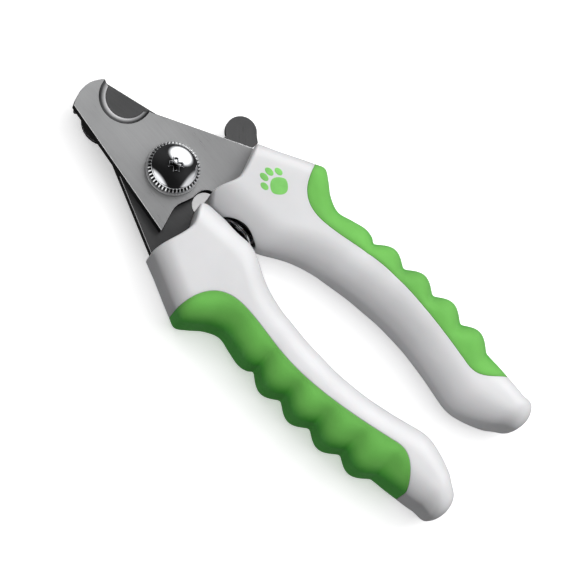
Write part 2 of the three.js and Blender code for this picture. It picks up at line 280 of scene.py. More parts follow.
def turned_ring(corners, radius):
    """A closed [distance, height] profile carried round the Z axis, with eased corners."""
    columns = 144
    profile = eased(corners, radius)
    profile = np.concatenate([profile, profile[:1]])
    angle = np.linspace(0, 2 * np.pi, columns, endpoint=False)
    points = np.stack([profile[:, :1] * np.cos(angle), profile[:, :1] * np.sin(angle),
                       np.repeat(profile[:, 1:], columns, axis=1)], axis=-1)
    return points.reshape(-1, 3), wrapped_grid(len(profile), columns)


def capped_turning(radii, heights, carve):
    """A profile that starts and ends on the Z axis, carried round it. carve works out each
    point's new height from its place."""
    columns = 288
    angle = np.linspace(0, 2 * np.pi, columns, endpoint=False)
    radii, heights = np.asarray(radii, float)[:, None], np.asarray(heights, float)[:, None]
    x, y = radii * np.cos(angle), radii * np.sin(angle)
    z = carve(x, y, np.repeat(heights, columns, axis=1))
    return np.stack([x, y, z], axis=-1).reshape(-1, 3), wrapped_grid(len(radii), columns)


# ---- finishes -----------------------------------------------------------------------


class Wiring:
    """A node tree being wired: short calls for the nodes that the finishes and the sky share."""

    def __init__(self, tree):
        self.tree = tree

    def node(self, kind, inputs, operation=None):
        """A new node. Each input is given a value, or a link from another node's output."""
        node = self.tree.nodes.new("ShaderNode" + kind)
        if operation:
            node.operation = operation
        for label, value in inputs.items():
            if isinstance(value, bpy.types.NodeSocket):
                self.tree.links.new(value, node.inputs[label])
            else:
                node.inputs[label].default_value = value
        return node

    def spread(self, source, low, high, start=0.3, end=0.7, shape="LINEAR"):
        """A value remapped from start..end to low..high."""
        node = self.node("MapRange", {"Value": source, "From Min": start, "From Max": end,
                                      "To Min": low, "To Max": high})
        node.interpolation_type = shape
        return node.outputs["Result"]

    def plus(self, first, second):
        """The sum of two values."""
        return self.node("Math", {0: first, 1: second}).outputs["Value"]

    def minus(self, first, second):
        """The first value less the second."""
        return self.node("Math", {0: first, 1: second}, "SUBTRACT").outputs["Value"]

    def times(self, first, second):
        """The product of two values."""
        return self.node("Math", {0: first, 1: second}, "MULTIPLY").outputs["Value"]


class Finish(Wiring):
    """A material being wired. Its patterns lie on the piece's Object coordinates."""

    def __init__(self, name):
        self.material = bpy.data.materials.new(name)
        self.material.use_nodes = True
        super().__init__(self.material.node_tree)
        self.shader = next(n for n in self.tree.nodes if n.type == "BSDF_PRINCIPLED")
        self.place = self.node("TexCoord", {}).outputs["Object"]

    def set(self, **values):
        """Constant values on the shader's own sockets."""
        for label, value in values.items():
            self.shader.inputs[label.replace("_", " ")].default_value = value

    def stretched(self, scale, turn=0.0):
        """Object coordinates turned about Z, then scaled by axis."""
        turned = self.node("Mapping", {"Rotation": (0.0, 0.0, turn), "Vector": self.place})
        sized = self.node("Mapping", {"Scale": scale, "Vector": turned.outputs["Vector"]})
        return sized.outputs["Vector"]

    def noise(self, scale, detail=3.0, rough=0.5, place=None):
        """Cloudy noise, on Object coordinates unless a place is given."""
        node = self.node("TexNoise", {"Scale": scale, "Detail": detail, "Roughness": rough,
                                      "Vector": place or self.place})
        return node.outputs["Fac"]

    def cells(self, scale):
        """Soft round cells, by the distance to the nearest centre."""
        node = self.node("TexVoronoi", {"Scale": scale, "Vector": self.place})
        node.feature = "SMOOTH_F1"
        node.inputs["Smoothness"].default_value = 0.6
        return node.outputs["Distance"]

    def attribute(self, name):
        """A value that the mesh carries at its points."""
        node = self.node("Attribute", {})
        node.attribute_name = name
        return node.outputs["Fac"]

    def tint(self, source, low, high, start=0.3, end=0.7):
        """A colour that runs from low to high as source runs from start to end. low and high
        are each three numbers or a colour output."""
        node = self.node("Mix", {})
        node.data_type = "RGBA"
        self.tree.links.new(self.spread(source, 0.0, 1.0, start, end), node.inputs["Factor"])
        for socket, colour in zip([s for s in node.inputs if s.type == "RGBA"], (low, high)):
            if isinstance(colour, tuple):
                socket.default_value = (*colour, 1.0)
            else:
                self.tree.links.new(colour, socket)
        return next(s for s in node.outputs if s.type == "RGBA")

    def colour(self, source, low, high, start=0.3, end=0.7):
        """The base colour, as a tint."""
        tint = self.tint(source, low, high, start, end)
        self.tree.links.new(tint, self.shader.inputs["Base Color"])

    def rough(self, source, low, high, start=0.3, end=0.7):
        """The roughness, from low to high as source runs from start to end."""
        spread = self.spread(source, low, high, start, end)
        self.tree.links.new(spread, self.shader.inputs["Roughness"])

    def relief(self, height, strength, distance):
        """Fine bumps, as deep as distance in metres where height is 1."""
        bump = self.node("Bump", {"Strength": strength, "Distance": distance, "Height": height})
        self.tree.links.new(bump.outputs["Normal"], self.shader.inputs["Normal"])


def scaled(colour, factor):
    """A colour made brighter or darker, with no channel past 1."""
    return tuple(min(1.0, channel * factor) for channel in colour)


def hard_plastic(name, colour):
    """Satin moulded plastic: a faint spark texture, slow drifts in tone, handling haze, and
    painted shade that darkens it along the seam's crease.
    """
    f = Finish(name)
    # Random drifts in tone, less painted shade along the seam's crease.
    tone_and_seam_shade = f.minus(f.noise(38.0, 4.0), f.times(f.attribute("seam"), 0.55))
    f.colour(tone_and_seam_shade, scaled(colour, 0.90), scaled(colour, 1.02))
    f.rough(f.noise(120.0, 5.0), 0.34, 0.46)
    f.relief(f.plus(f.noise(5200.0, 2.0), f.times(f.noise(900.0, 2.0), 0.6)), 0.16, 0.00004)
    f.set(Subsurface_Weight=0.06, Subsurface_Scale=0.0012, Specular_IOR_Level=0.5)
    return f.material


def soft_rubber(name, colour):
    """Matt thermoplastic rubber: a fine pebble grain, painted shade along the seam's crease, a pale
    bloom, and darker, deeper green flanks: partly the rubber's own colour, partly painted shade."""
    f = Finish(name)
    # Random drifts in tone, less painted shade along the seam's crease.
    tone_and_seam_shade = f.minus(f.noise(55.0, 4.0), f.times(f.attribute("seam"), 0.7))
    # The flank mask: there the colour runs to a darker, deeper green, partly painted shade.
    flank_shade = f.plus(f.attribute("flank"), f.times(f.noise(140.0, 3.0), 0.2))
    skin = f.tint(tone_and_seam_shade, scaled(colour, 0.86), scaled(colour, 1.08))
    deep = (0.16 * colour[0], 0.66 * colour[1], 0.1 * colour[2])
    f.colour(flank_shade, skin, deep, 0.1, 1.1)
    f.rough(f.noise(300.0, 4.0), 0.50, 0.64)
    f.relief(f.plus(f.cells(3600.0), f.times(f.noise(1500.0, 3.0), 0.8)), 0.22, 0.00007)
    f.set(Sheen_Weight=0.10, Sheen_Roughness=0.45, Specular_IOR_Level=0.3)
    return f.material


def brushed_steel(name, colour, turn, rough=(0.24, 0.40)):
    """Stainless steel with a one-way satin grain, a few longer scratches and slow smudges."""
    f = Finish(name)
    fine = f.noise(1.0, 4.0, 0.7, f.stretched((220.0, 9000.0, 4000.0), turn))
    scratches = f.noise(1.0, 2.0, 0.5, f.stretched((50.0, 2600.0, 900.0), turn + 0.03))
    grain = f.plus(fine, f.times(scratches, 0.35))
    smudge = f.noise(90.0, 4.0, 0.6)
    tone = f.plus(f.spread(grain, 0.02, 0.98, 0.4, 1.0), f.times(smudge, 0.24))
    f.colour(tone, scaled(colour, 0.90), scaled(colour, 1.08), 0.1, 1.1)
    f.rough(f.plus(grain, smudge), rough[0], rough[1], 0.8, 1.5)
    f.relief(grain, 0.06, 0.00001)
    f.set(Metallic=0.55, Anisotropic=0.45)
    return f.material


def polished_steel(name, colour, rough=0.12):
    """Ground and polished steel with hairline marks."""
    f = Finish(name)
    hair = f.noise(1.0, 3.0, 0.6, f.stretched((2600.0, 2600.0, 300.0)))
    f.colour(f.noise(220.0, 4.0), scaled(colour, 0.88), scaled(colour, 1.06))
    f.rough(hair, rough, rough + 0.06)
    f.relief(hair, 0.02, 0.00001)
    f.set(Metallic=1.0)
    return f.material


def ground_steel(name, colour):
    """The cutting bevel, with painted light: dark at its outer rim, running to a painted highlight
    along the cutting edge.
    """
    f = Finish(name)
    hair = f.noise(1.0, 3.0, 0.6, f.stretched((1500.0, 1500.0, 500.0)))
    # Painted highlight: bright toward the cutting edge, dark toward the outer face.
    keen = f.plus(f.attribute("keen"), f.times(hair, 0.04))
    f.colour(keen, (0.045, 0.045, 0.047), colour, 0.28, 0.95)
    f.rough(hair, 0.30, 0.36)
    f.relief(hair, 0.004, 0.00001)
    f.set(Metallic=0.35)
    return f.material


def edge_steel(name, colour):
    """The thin broken edge of a plate, with painted shade: near black round the notch's rim and
    along the front blade's lower edges.
    """
    f = Finish(name)
    # Painted shade, by the notch attribute: the edge turns near black.
    edge_shade = f.plus(f.attribute("notch"), f.times(f.noise(900.0, 3.0), 0.1))
    f.colour(edge_shade, colour, (0.02, 0.02, 0.021), 0.2, 0.6)
    f.rough(f.noise(700.0, 3.0), 0.24, 0.32)
    f.relief(f.noise(1800.0, 2.0), 0.03, 0.00001)
    f.set(Metallic=0.85)
    return f.material


def sheared_steel(name):
    """The torn rim that a press leaves round a stamped plate, near black: painted shade on the
    walls.
    """
    f = Finish(name)
    torn = f.noise(1.0, 4.0, 0.6, f.stretched((900.0, 900.0, 5000.0)))
    # Painted shade: the walls are coloured near black.
    f.colour(torn, (0.001, 0.001, 0.001), (0.008, 0.008, 0.008))
    f.rough(torn, 0.45, 0.65)
    f.relief(torn, 0.2, 0.00003)
    f.set(Specular_IOR_Level=0.06)
    return f.material


def knurl_steel(name, colour):
    """Plated steel with painted shade: near black in the knurl grooves and inside the bore."""
    f = Finish(name)
    # Painted shade, by the groove attribute: near black, and rougher, in the grooves.
    groove_shade_mask = f.plus(f.attribute("groove"), f.times(f.noise(600.0, 3.0), 0.25))
    f.colour(groove_shade_mask, colour, (0.012, 0.012, 0.013), 0.25, 0.6)
    f.rough(groove_shade_mask, 0.14, 0.55, 0.3, 0.9)
    f.relief(f.noise(2400.0, 2.0), 0.05, 0.00002)
    f.set(Metallic=0.8)
    return f.material


def plain_moulding(name, colour, rough):
    """A small moulded or turned plastic piece with a faint grain."""
    f = Finish(name)
    f.colour(f.noise(160.0, 4.0), scaled(colour, 0.85), scaled(colour, 1.15))
    f.rough(f.noise(700.0, 3.0), rough - 0.08, rough + 0.08)
    f.relief(f.noise(3000.0, 2.0), 0.12, 0.00003)
    return f.material


# ---- handles ------------------------------------------------------------------------

# The upper handle's edges in plan, in tool millimetres, and its front wall as X at a Y.
INNER_EDGE = through([
    (12.0, 0.15), (31.5, 0.15), (35.0, 1.3), (40.4, 4.7), (46, 7.1), (55, 9.2), (67, 10.6),
    (79, 10.8), (90, 9.4), (101, 6.9), (107, 5.7), (114, 7.9), (119.5, 11.0), (123.4, 14.2),
    (125.3, 17.2)])
OUTER_FRONT = through([
    (12.0, 22.6), (29.0, 31.0), (32.0, 32.1), (35.2, 30.0), (38.6, 27.2), (43.2, 25.3),
    (48.2, 26.3), (52.8, 27.3), (55.6, 26.9), (57.1, 25.8)])
OUTER_END = through([(103.5, 25.0), (112.6, 23.8), (118.5, 22.9), (123.0, 21.4), (125.3, 18.8)])
HEAD_FRONT = through([(0, 15.6), (2.4, 13.0), (4.4, 13.3), (10.6, 15.6), (22.6, 12.4), (24, 12.2)])
SCALLOP_START, SCALLOP_PITCH, SCALLOP_END, SCALLOP_DEPTH = 57.1, 11.6, 103.5, 2.6
# The nose closes in height over its run and in width from its start, to a small blunt end.
NOSE_RUN, NOSE_START, NOSE_BLUNT, NOSE_WIDE, NOSE_Y = 7.5, 117.5, 0.02, 6.3, 18.3
# The corners' radii, and the power of their superellipse: 1 is round, less is fuller.
GAP_RADIUS, OUTER_RADIUS, FULLNESS = 9.0, 6.0, 0.93
# Where the upper half of a section changes, going round: outer wall, outer corner, face, inner
# corner, inner wall. Then the number of points along each.
STEP_STOPS = (0.0, 0.05, 0.27, 0.52, 0.97, 1.0)
STEP_COUNTS = (6, 18, 26, 30, 4)
# The spring pocket's radius, the Y of its floor and the rounding of its rim.
POCKET_R, POCKET_DEPTH, POCKET_RIM = 6.5, 8.6, 0.5
# Columns of the table that a handle's points are kept in, after their places.
NORMAL, SEAM, POCKET = slice(3, 6), 6, 7
# Each half's side, its body, and whether it is the upper one turned over.
SIDES = (("upper", "front_half", False), ("lower", "rear_half", True))


def evened(curve, x, reach):
    """The mean of a curve over a short run to each side of x, weighted to the middle, so that
    its slope changes slowly."""
    shifts = np.linspace(-0.9, 0.9, 13)
    weights = (1 - shifts ** 2) / np.sum(1 - shifts ** 2)
    return sum(weight * curve(x + reach * shift) for shift, weight in zip(shifts, weights))


def scallop_crest(x):
    """The line over the tops of the finger scallops: a shallow arch."""
    return 26.8 - 0.0026 * (x - 77.0) ** 2 + SCALLOP_DEPTH


def outer_edge(x):
    """The swelling behind the head, then the scallops, whose depth is the size of a sine with
    its cusps rounded off, then the plain end."""
    wave = np.sin(np.pi * (x - SCALLOP_START) / SCALLOP_PITCH)
    lift = (np.sqrt(wave ** 2 + 0.03) - 0.173) / 0.842
    scallops = scallop_crest(x) - SCALLOP_DEPTH * (1 - lift)
    return np.where(x < SCALLOP_START, OUTER_FRONT(x),
                    np.where(x > SCALLOP_END, OUTER_END(x), scallops))


def scoop_depth(x):
    """How deep the scoops are at x: the scallops' own dips below their crest line, and a
    wider dip behind the swelling."""
    inside = smooth(x, 51.0, 57.0) * (1 - smooth(x, 103.6, 109.0))
    dip = np.where((x > SCALLOP_START) & (x < SCALLOP_END), scallop_crest(x) - outer_edge(x),
                   SCALLOP_DEPTH) * inside
    return dip + 1.6 * np.exp(-((x - 43.5) / 4.2) ** 2)


def handle_section(x, step, inset, sizes):
    """Points of the section at x. It is a rounded rectangle whose finger-gap corners are
    rounder than its outer ones; step runs 0..1 from the outer side over the top to the inner
    side, and 1..2 back underneath. Corners are superelliptic, so the light runs off evenly."""
    crown = 1000.0 * sizes.crown
    past = np.clip((x - NOSE_X + NOSE_RUN) / (NOSE_RUN + NOSE_BLUNT), 0, 1)
    half = (HALF - crown) * (1 - past ** 2.5) ** (1 / 2.3)
    low, high = evened(INNER_EDGE, x, 4.5), outer_edge(x)
    end = np.clip((x - NOSE_START) / (NOSE_X - NOSE_START + NOSE_BLUNT), 0, 1)
    middle, width = (low + high) / 2, (high - low) / 2
    full = NOSE_WIDE * (1 - end ** 2.6) ** (1 / 2.1)
    width = width + (full - width) * smooth(x, 119.0, 124.0)
    middle = middle + (NOSE_Y - middle) * smooth(x, 118.0, 124.5)
    low, high = middle - width + inset, middle + width - inset
    half = half - inset
    room = (high - low) * 0.49
    scalloped = smooth(x, 50, 56) * (1 - smooth(x, 105, 111))
    steady = (evened(outer_edge, x, 6.4) - low) * 0.47
    room_in = room + (steady - room) * scalloped
    grip_part = smooth(x, 26, 40) * (1 - smooth(x, 104, 120))
    radius_in = np.minimum(np.minimum(GAP_RADIUS, room_in), half * 0.94)
    wide_out = np.minimum(OUTER_RADIUS + 2.2 * grip_part, high - low - radius_in - 0.2)
    deep_out = np.minimum(OUTER_RADIUS + 0.8 * grip_part, half * 0.9)
    upper = np.where(step <= 1, step, 2 - step)
    turns = np.interp(upper, STEP_STOPS, [0, 0, 1, 2, 3, 3])
    wall_out = np.interp(upper, STEP_STOPS[:2], [0, 1])
    wall_in = np.interp(upper, STEP_STOPS[-2:], [1, 0])
    bend_out = np.clip(turns, 0, 1) * np.pi / 2
    bend_in = np.clip(turns - 2, 0, 1) * np.pi / 2
    along = np.clip(turns - 1, 0, 1)
    y_out = high - wide_out + wide_out * np.cos(bend_out).clip(0) ** FULLNESS
    z_out = half - deep_out + deep_out * np.sin(bend_out).clip(0) ** FULLNESS
    y_in = low + radius_in - radius_in * np.sin(bend_in).clip(0) ** FULLNESS
    z_in = half - radius_in + radius_in * np.cos(bend_in).clip(0) ** FULLNESS
    y = np.where(turns <= 1, y_out, np.where(turns >= 2, y_in, y_out + (y_in - y_out) * along))
    z = np.where(turns <= 1, z_out * wall_out, np.where(turns >= 2, z_in * wall_in, half))
    across = np.clip((y - middle) / np.maximum(width, 0.1), -1, 1)
    z = z + crown * (1 - across ** 2) * np.clip(z / np.maximum(half, 0.1), 0, 1) ** 2
    line = seam_line()
    near = smooth(y, np.interp(x, line[:, 0], line[:, 1]) + 1.2, high - 0.6)
    z = z - sizes.scoop * scoop_depth(x) * near * np.clip(z / np.maximum(half, 0.1), 0, 1) ** 1.5
    return y, np.where(step <= 1, z, -z)


def handle_skin(sizes):
    """The whole handle as a closed skin: sections along X, a front wall that follows the V of
    the head with an eased rim, and a round nose. Returns points and triangles."""
    front, rim_run, plain_start, taper_start = 13.0, 0.7, 18.0, 114.6
    rim, hub = 0.9, 12.0
    stretches = zip(STEP_STOPS, STEP_STOPS[1:], STEP_COUNTS)
    columns = np.concatenate([np.linspace(a, b, count)[:-1] for a, b, count in stretches])
    step = np.concatenate([columns, [1.0], 2.0 - columns[::-1][:-1]])
    y, z = handle_section(front, step, rim, sizes)
    sections = []
    for share in np.linspace(0, 1, 12):
        across = hub + (y - hub) * share
        sections.append(np.stack([HEAD_FRONT(across), across, z * share], -1))
    for turn in np.linspace(0, np.pi / 2, 6)[1:]:
        y, z = handle_section(front + rim_run * np.sin(turn), step, rim * (1 - np.sin(turn)), sizes)
        sections.append(np.stack([HEAD_FRONT(y) + rim * (1 - np.cos(turn)), y, z], -1))
    for share in np.linspace(0, 1, 9)[1:-1]:
        eased_x = front + rim_run + (plain_start - front - rim_run) * share
        y, z = handle_section(eased_x, step, 0.0, sizes)
        x = (HEAD_FRONT(y) + rim) * (1 - share) + plain_start * share
        sections.append(np.stack([x, y, z], -1))
    plain = np.arange(plain_start, taper_start, 0.48)
    taper = taper_start + (NOSE_X - taper_start) * np.sin(np.linspace(0, np.pi / 2, 34))
    run = np.concatenate([plain, taper])
    x = np.repeat(run[:, None], len(step), axis=1)
    y, z = handle_section(x, np.repeat(step[None], len(run), axis=0), 0.0, sizes)
    end = np.tile([NOSE_X, y[-1].mean(), 0.0], (1, len(step), 1))
    points = np.concatenate([np.array(sections), np.stack([x, y, z], -1), end])
    faces = wrapped_grid(len(points), len(step))
    points = points.reshape(-1, 3)
    return points, facing_out(points, triangles_of(faces))


def seam_line():
    """The grip's seam in plan, from past the outer edge at the front to the same at the back."""
    return np.concatenate([
        [(28.0, 36.0), (28.8, 30.4)],
        bezier((28.8, 30.4), (30.0, 23.5), (33.0, 17.4), (42.0, 17.7)),
        bezier((42.0, 17.7), (51.0, 18.1), (57.0, 20.8), (68.0, 20.7)),
        bezier((68.0, 20.7), (80.0, 20.6), (93.0, 17.8), (101.0, 16.1)),
        bezier((101.0, 16.1), (106.0, 15.2), (108.5, 18.6), (113.2, 24.4)),
        [(114.0, 36.0)]])


def seam_distance(points):
    """Distance in plan from the seam: positive on the grip's side, negative on the core's."""
    line = seam_line()
    start, side = line[:-1], np.diff(line, axis=0)
    nearest = np.full(len(points), np.inf)
    plan = points[:, :2]
    for origin, way in zip(start, side):
        share = np.clip((plan - origin) @ way / (way @ way), 0, 1)
        nearest = np.minimum(nearest, np.linalg.norm(plan - origin - share[:, None] * way, axis=1))
    inside = plan[:, 1] > np.interp(plan[:, 0], line[:, 0], line[:, 1])
    return np.where(inside, nearest, -nearest)


def rounded_drop(distance, radius):
    """How far a quarter-round edge of that radius falls below the face, at a distance from it."""
    left = np.clip(radius - distance, 0, radius)
    return radius - np.sqrt(radius ** 2 - left ** 2)


def seam_mark(distance):
    """1 on the seam, falling off as an exponential to both sides. The finishes darken by it:
    painted shade in the seam's crease.
    """
    return np.exp(-np.abs(distance) / 0.45)


def part_of(values, triangles, keep):
    """The kept triangles with only their own points, whose normals are unit length again."""
    part, faces = without_spares(values, triangles[keep])
    part[:, NORMAL] /= np.linalg.norm(part[:, NORMAL], axis=1, keepdims=True)
    return part, faces


def skirt(rim, count):
    """Triangles that join each edge of a rim to its copy, whose points come count later."""
    first, second = rim.T
    return np.concatenate([np.stack([second, first, first + count], axis=1),
                           np.stack([second, first + count, second + count], axis=1)])


def handle_meshes(sizes):
    """The hard core and the soft grip, both cut from one skin along the seam. The core drops to
    a bed under the grip. The grip is a shell over that bed. Both round over at the seam."""
    radius, depth = 1000.0 * sizes.seam_round, 1000.0 * sizes.grip_depth
    points, triangles = handle_skin(sizes)
    normals = corner_normals(points, triangles)
    from_axis = np.hypot(points[:, 0] - SPRING_X, points[:, 2])
    pocket = np.where(points[:, 1] < 9.0, POCKET_R - from_axis, -9.0)
    values = np.column_stack([points, normals, seam_distance(points), pocket])
    for level in (-1.0, -0.55, -0.2, 0.0, 0.2, 0.55, 1.0):
        values, triangles = cut_along(values, triangles, SEAM, level * radius)
    for level in (-1.0, -0.5, 0.0):
        values, triangles = cut_along(values, triangles, POCKET, level * POCKET_RIM)

    shell, faces = part_of(values, triangles, values[triangles, SEAM].mean(axis=1) > 0)
    top = shell[:, :3] - shell[:, NORMAL] * rounded_drop(shell[:, SEAM], radius)[:, None]
    under = shell[:, :3] - shell[:, NORMAL] * depth
    count = len(shell)
    # The flank mask, 1 at mid-height of the sides: the grip's finish darkens there to a deeper
    # green, partly painted shade.
    flank = smooth(1 - np.abs(shell[:, 2]) / HALF, 0.16, 0.62)
    grip = (np.concatenate([top, under]),
            np.concatenate([faces, faces[:, ::-1] + count, skirt(open_edges(faces), count)]),
            np.tile(seam_mark(shell[:, SEAM]), 2), np.tile(flank, 2))

    core, faces = part_of(values, triangles, values[triangles, POCKET].mean(axis=1) < 0)
    drop = np.where(core[:, SEAM] <= 0.01, rounded_drop(-core[:, SEAM], radius), depth + 0.15)
    placed = core[:, :3] - core[:, NORMAL] * drop[:, None]
    at_rim = core[:, POCKET] > -POCKET_RIM
    placed[:, 1] += 0.8 * rounded_drop(-core[:, POCKET], POCKET_RIM) * at_rim
    rim = open_edges(faces)
    count = len(core)
    deep = placed * (1, 0, 1) + (0, POCKET_DEPTH, 0)
    centre = np.full(len(rim), 2 * count)
    floor = np.stack([rim[:, 1] + count, rim[:, 0] + count, centre], axis=1)
    points = np.concatenate([placed, deep, [(SPRING_X, POCKET_DEPTH, 0)]])
    # Seam marks for the white core's painted shade along the seam; none in the pocket.
    marks = np.concatenate([seam_mark(core[:, SEAM]), np.zeros(count + 1)])
    joined = np.concatenate([faces, skirt(rim, count), floor])
    core, faces = without_spares(np.column_stack([points, marks]), joined)
    return (core[:, :3], faces, core[:, 3]), grip


class CLIPPER_OT_handles(bpy.types.Operator):
    """Make both handles: the hard white cores and the soft green grips."""

    bl_idname = "clipper.handles"
    bl_label = "Handles and grips"

    def execute(self, context):
        sizes, colours = context.scene.clipper_sizes, context.scene.clipper_colours
        core, grip = handle_meshes(sizes)
        white = hard_plastic("satin_white_plastic", tuple(colours.white))
        green = soft_rubber("soft_green_rubber", tuple(colours.green))
        for side, body, over in SIDES:
            make_piece(f"{side}_handle_core", core[0], core[1], body, [white],
                       [f"{side}_handle"], over, attributes={"seam": core[2]}, sharp=0.75)
            make_piece(f"{side}_soft_grip", grip[0], grip[1], body, [green],
                       [f"{side}_grip"], over, {"seam": grip[2], "flank": grip[3]}, 0.9)
        return {"FINISHED"}


# The paw mark's middle, then each pad's place along and across, and its half sizes, as shares
# of the mark's width.
PAW_X, PAW_Y = 24.2, 16.2
PAW_PADS = ((0.18, 0.0, 0.27, 0.33), (-0.16, -0.36, 0.155, 0.105), (-0.16, 0.36, 0.155, 0.105),
            (-0.38, -0.13, 0.17, 0.11), (-0.38, 0.13, 0.17, 0.11))


class CLIPPER_OT_paw_mark(bpy.types.Operator):
    """Print a plain paw mark on the upper handle's head."""

    bl_idname = "clipper.paw_mark"
    bl_label = "Paw mark"

    def execute(self, context):
        sizes, colours = context.scene.clipper_sizes, context.scene.clipper_colours
        size = 1000.0 * sizes.paw_size
        columns = 48
        angle = np.linspace(0, 2 * np.pi, columns, endpoint=False)
        share = np.array([0, 0.25, 0.5, 0.75, 0.93, 1.0, 1.0, 0.0])[:, None]
        height = np.array([0.05, 0.05, 0.05, 0.05, 0.045, 0.02, -0.15, -0.15])[:, None]
        grid = wrapped_grid(len(share), columns)
        face_steps = np.linspace(STEP_STOPS[2], STEP_STOPS[3], 60)
        face_y, face_z = handle_section(PAW_X, face_steps, 0.0, sizes)
        points, faces = [], []
        for along, across, long, wide in PAW_PADS:
            heel = 1.0 + (0.18 * np.cos(2 * angle) if wide > 0.2 else 0.0)
            x = PAW_X + size * (along + long * share * np.cos(angle) * heel)
            y = PAW_Y + size * (across + wide * share * np.sin(angle))
            z = np.interp(y, face_y[::-1], face_z[::-1]) + height
            faces.append(grid + len(points) * share.size * columns)
            points.append(np.stack([x, y, z], -1).reshape(-1, 3))
        ink = plain_moulding("green_print", tuple(colours.print_green), 0.42)
        make_piece("paw_mark", np.concatenate(points), np.concatenate(faces), "front_half",
                   [ink])
        return {"FINISHED"}


# ---- steel plates -------------------------------------------------------------------

# A blade's thickness, its notch's middle and a reach just past the notch's edge, and the order
# of a plate's finishes.
PLATE = 3.2
NOTCH_X, NOTCH_Y, NOTCH_REACH = -24.3, 7.0, 9.2
FACE, GROUND, BROKEN, SHEARED = range(4)


def stamped_plate(node, name, body, finishes, edge, notch=None):
    """A copy of a CAD plate, welded, with its flat faces whole again and its edges broken by a
    bevel. Faces are flat, ground in the notch, or sheared at the rim, each with its finish. Two
    attributes carry painted light: a highlight that grows toward the cutting edge of the ground
    notch, and shade on the broken edges round the notch's rim and under the front blade."""

    def in_notch(at):
        """Whether a place is within the notch's circle, or close outside it."""
        return bool(notch) and np.hypot(at.x - notch[0], at.y - notch[1]) < NOTCH_REACH

    mesh = frame["nodes"][node].data.copy()
    mesh.name = name
    mesh.materials.clear()
    for finish in finishes:
        mesh.materials.append(finish)
    plate = bmesh.new()
    plate.from_mesh(mesh)
    bmesh.ops.remove_doubles(plate, verts=plate.verts, dist=2e-6)
    bmesh.ops.dissolve_limit(plate, angle_limit=0.01, verts=plate.verts, edges=plate.edges)
    for face in plate.faces:
        centre = face.calc_center_median() * 1000.0 - Vector(PIVOT)
        wall = GROUND if in_notch(centre) else SHEARED
        face.material_index = FACE if abs(face.normal.z) > 0.99 else wall
        face.smooth = True
    keen, near = plate.verts.layers.float.new("keen"), plate.verts.layers.float.new("notch")
    for vertex in plate.verts:
        at = vertex.co * 1000.0 - Vector(PIVOT)
        # Painted highlight's mask on the ground bevel: 1 at z = 0, where the blades meet, and 0 a
        # plate's thickness away.
        vertex[keen] = 1.0 - min(1.0, abs(at.z) / PLATE)
        # Painted shade's mask: the front blade's lower edges, and the notch's upper edges.
        underside_shade = node == "front_blade" and at.z < 1.0
        vertex[near] = 1.0 if underside_shade or (in_notch(at) and abs(at.z) > 1.0) else 0.0
    plate.to_mesh(mesh)
    plate.free()
    mesh.set_sharp_from_angle(angle=0.5)
    piece = bpy.data.objects.new(name, mesh)
    bpy.context.scene.collection.objects.link(piece)
    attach(piece, body)
    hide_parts(node)
    bevel = piece.modifiers.new("broken_edge", "BEVEL")
    bevel.width = edge
    bevel.segments = 3
    bevel.limit_method = "ANGLE"
    bevel.angle_limit = 0.6
    bevel.harden_normals = True
    bevel.material = BROKEN
    return piece


class CLIPPER_OT_blades(bpy.types.Operator):
    """Make the two notched blades with brushed faces and ground notches."""

    bl_idname = "clipper.blades"
    bl_label = "Blades"

    def execute(self, context):
        sizes, colours = context.scene.clipper_sizes, context.scene.clipper_colours
        front, rear = tuple(colours.blade), tuple(colours.rear)
        stamped_plate("front_blade", "front_blade_plate", "front_half",
                      [brushed_steel("front_blade_steel", front, 0.09, (0.26, 0.40)),
                       ground_steel("front_notch_ground", (0.86, 0.86, 0.87)),
                       edge_steel("front_blade_edge", (0.88, 0.88, 0.89)),
                       sheared_steel("front_blade_wall")],
                      sizes.steel_edge, (NOTCH_X, NOTCH_Y))
        # The rear blade's darker colour is partly painted shade under the front blade.
        stamped_plate("rear_blade", "rear_blade_plate", "rear_half",
                      [brushed_steel("rear_blade_steel", rear, -0.12, (0.16, 0.26)),
                       ground_steel("rear_notch_ground", (0.8, 0.8, 0.81)),
                       edge_steel("rear_blade_edge", (0.62, 0.62, 0.63)),
                       sheared_steel("rear_blade_wall")],
                      sizes.steel_edge, (NOTCH_X, -NOTCH_Y))
        return {"FINISHED"}


class CLIPPER_OT_guard(bpy.types.Operator):
    """Make the nail guard: one plate with a stop paddle and a thumb tab."""

    bl_idname = "clipper.guard"
    bl_label = "Nail guard"

    def execute(self, context):
        sizes, colours = context.scene.clipper_sizes, context.scene.clipper_colours
        rear = tuple(colours.rear)
        # The guard's face is darker again than the rear blade: partly painted shade under the front
        # blade.
        stamped_plate("nail_guard", "nail_guard_plate", "guard",
                      [brushed_steel("guard_steel", scaled(rear, 0.76), 0.8, (0.24, 0.36)),
                       polished_steel("guard_inside", rear),
                       edge_steel("guard_edge", (0.80, 0.80, 0.82)),
                       sheared_steel("guard_wall")],
                      1.3 * sizes.steel_edge)
        return {"FINISHED"}


# ---- pivot --------------------------------------------------------------------------


def turned_size(node):
    """The bottom, the top and the radius of a CAD node that is round about the pivot."""
    low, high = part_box(node)
    return 1000.0 * low.z - PIVOT[2], 1000.0 * high.z - PIVOT[2], 500.0 * (high.x - low.x)


